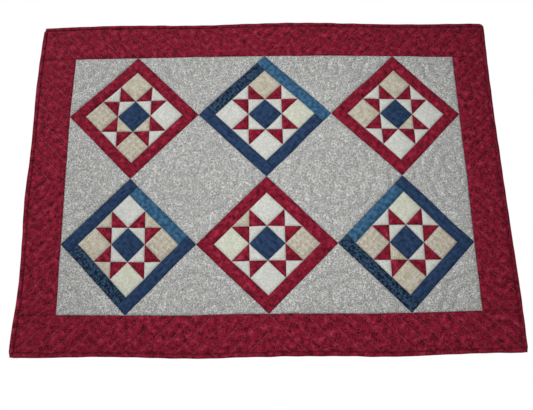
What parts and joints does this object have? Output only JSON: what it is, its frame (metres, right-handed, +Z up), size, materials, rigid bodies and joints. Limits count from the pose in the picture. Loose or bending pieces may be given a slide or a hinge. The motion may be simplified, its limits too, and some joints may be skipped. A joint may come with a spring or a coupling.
{
  "type": "patchwork quilt wall hanging",
  "caption": "Flat rectangular quilted wall hanging: framed star blocks standing on their points in plain cloth, a wide border with slanted quilting, and a bound edge.",
  "frame": {"origin": "middle of the top edge, on the plane of the wall behind the cloth", "axes": "+X along the cloth to the right as it is looked at, +Z up, +Y into the wall; the patched face looks along -Y"},
  "size_m": [1.025, 0.0099, 0.7505],
  "materials": {
    "border_cloth": "matt red quilting cotton, tone on tone",
    "binding_cloth": "matt red quilting cotton, folded",
    "grey_cloth": "matt grey quilting cotton with a fine pale print",
    "navy_cloth": "matt navy quilting cotton",
    "spotted_navy_cloth": "matt navy quilting cotton with dark spots",
    "teal_cloth": "matt blue-green quilting cotton, mottled",
    "star_patches": "matt quilting cotton in pale, red and navy patches"
  },
  "bodies": {
    "root": {"block_1_star": "star_patches", "block_1_frame_ne": "border_cloth", "block_1_frame_nw": "border_cloth", "block_1_frame_sw": "border_cloth", "block_1_frame_se": "border_cloth", "block_2_star": "star_patches", "block_2_frame_ne": "teal_cloth", "block_2_frame_nw": "spotted_navy_cloth", "block_2_frame_sw": "navy_cloth", "block_2_frame_se": "navy_cloth", "block_3_star": "star_patches", "block_3_frame_ne": "border_cloth", "block_3_frame_nw": "border_cloth", "block_3_frame_sw": "border_cloth", "block_3_frame_se": "border_cloth", "block_4_star": "star_patches", "block_4_frame_ne": "teal_cloth", "block_4_frame_nw": "navy_cloth", "block_4_frame_sw": "spotted_navy_cloth", "block_4_frame_se": "navy_cloth", "block_5_star": "star_patches", "block_5_frame_ne": "border_cloth", "block_5_frame_nw": "border_cloth", "block_5_frame_sw": "border_cloth", "block_5_frame_se": "border_cloth", "block_6_star": "star_patches", "block_6_frame_ne": "navy_cloth", "block_6_frame_nw": "teal_cloth", "block_6_frame_sw": "spotted_navy_cloth", "block_6_frame_se": "navy_cloth", "grey_square_left": "grey_cloth", "grey_square_right": "grey_cloth", "grey_top_left": "grey_cloth", "grey_top_right": "grey_cloth", "grey_bottom_left": "grey_cloth", "grey_bottom_right": "grey_cloth", "grey_left": "grey_cloth", "grey_right": "grey_cloth", "grey_corner_top_left": "grey_cloth", "grey_corner_top_right": "grey_cloth", "grey_corner_bottom_left": "grey_cloth", "grey_corner_bottom_right": "grey_cloth", "border_top": "border_cloth", "binding_top": "binding_cloth", "border_bottom": "border_cloth", "binding_bottom": "binding_cloth", "border_left": "border_cloth", "binding_left": "binding_cloth", "border_right": "border_cloth", "binding_right": "binding_cloth"}
  },
  "joints": []
}
